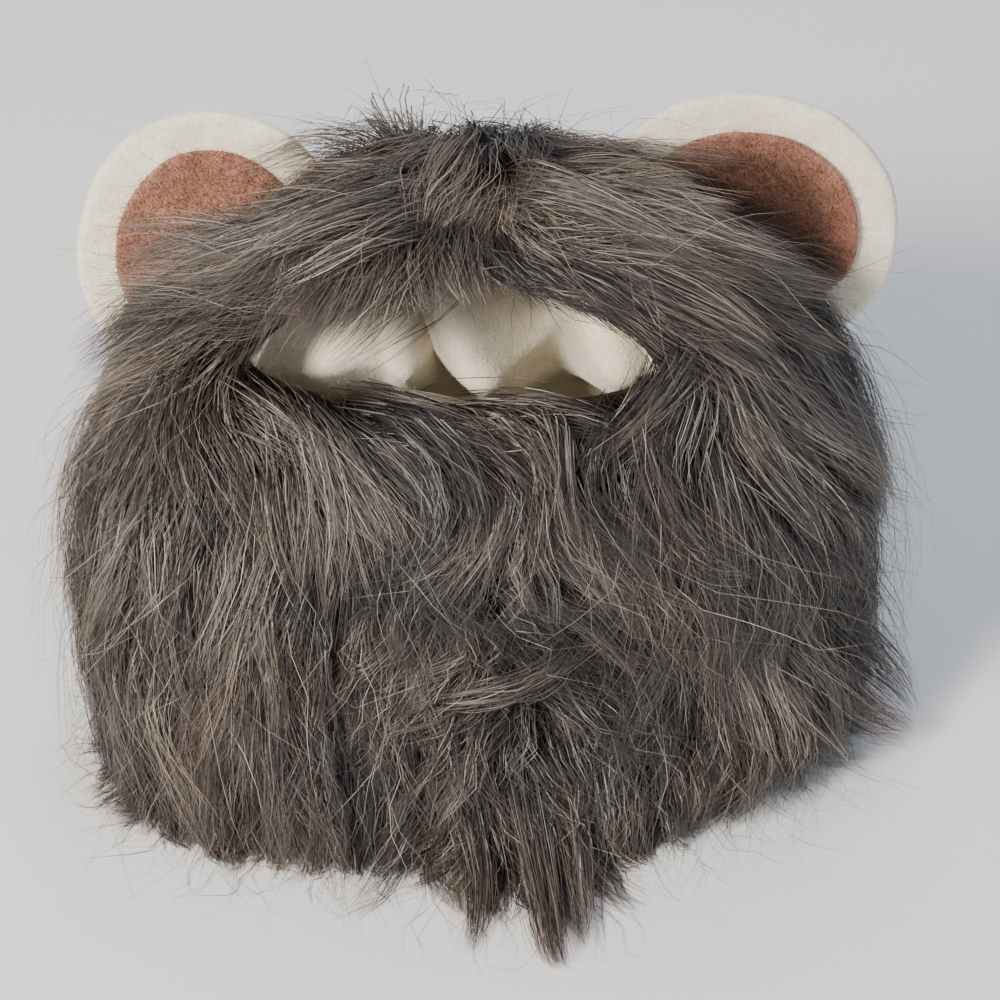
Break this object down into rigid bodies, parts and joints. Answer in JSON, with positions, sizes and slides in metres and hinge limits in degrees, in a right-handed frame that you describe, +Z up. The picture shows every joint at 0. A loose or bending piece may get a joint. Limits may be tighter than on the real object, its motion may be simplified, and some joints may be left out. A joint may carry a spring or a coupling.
{
  "type": "pet lion mane",
  "caption": "Hood-like faux fur lion mane for a small pet, with padded round ears, a fleece lining, a face opening and a lapped closure under the chin.",
  "frame": {"origin": "centre of the bounding box's bottom face, on the floor that the mane stands on", "axes": "+Z up, -Y towards the front of the mane, +X to the right as seen from the front"},
  "size_m": [0.2244, 0.1662, 0.1731],
  "materials": {
    "faux_fur": "long grey-brown pile with pale tips",
    "cream_fleece": "short matt nap",
    "rust_nap_fabric": "rough matt nap",
    "hook_and_loop_tape": "matt woven tape"
  },
  "bodies": {
    "root": {"fur_hood": "faux_fur", "hood_lining": "cream_fleece", "closure_tape": "hook_and_loop_tape", "left_ear": "cream_fleece", "right_ear": "cream_fleece", "left_ear_patch": "rust_nap_fabric", "right_ear_patch": "rust_nap_fabric"}
  },
  "joints": []
}
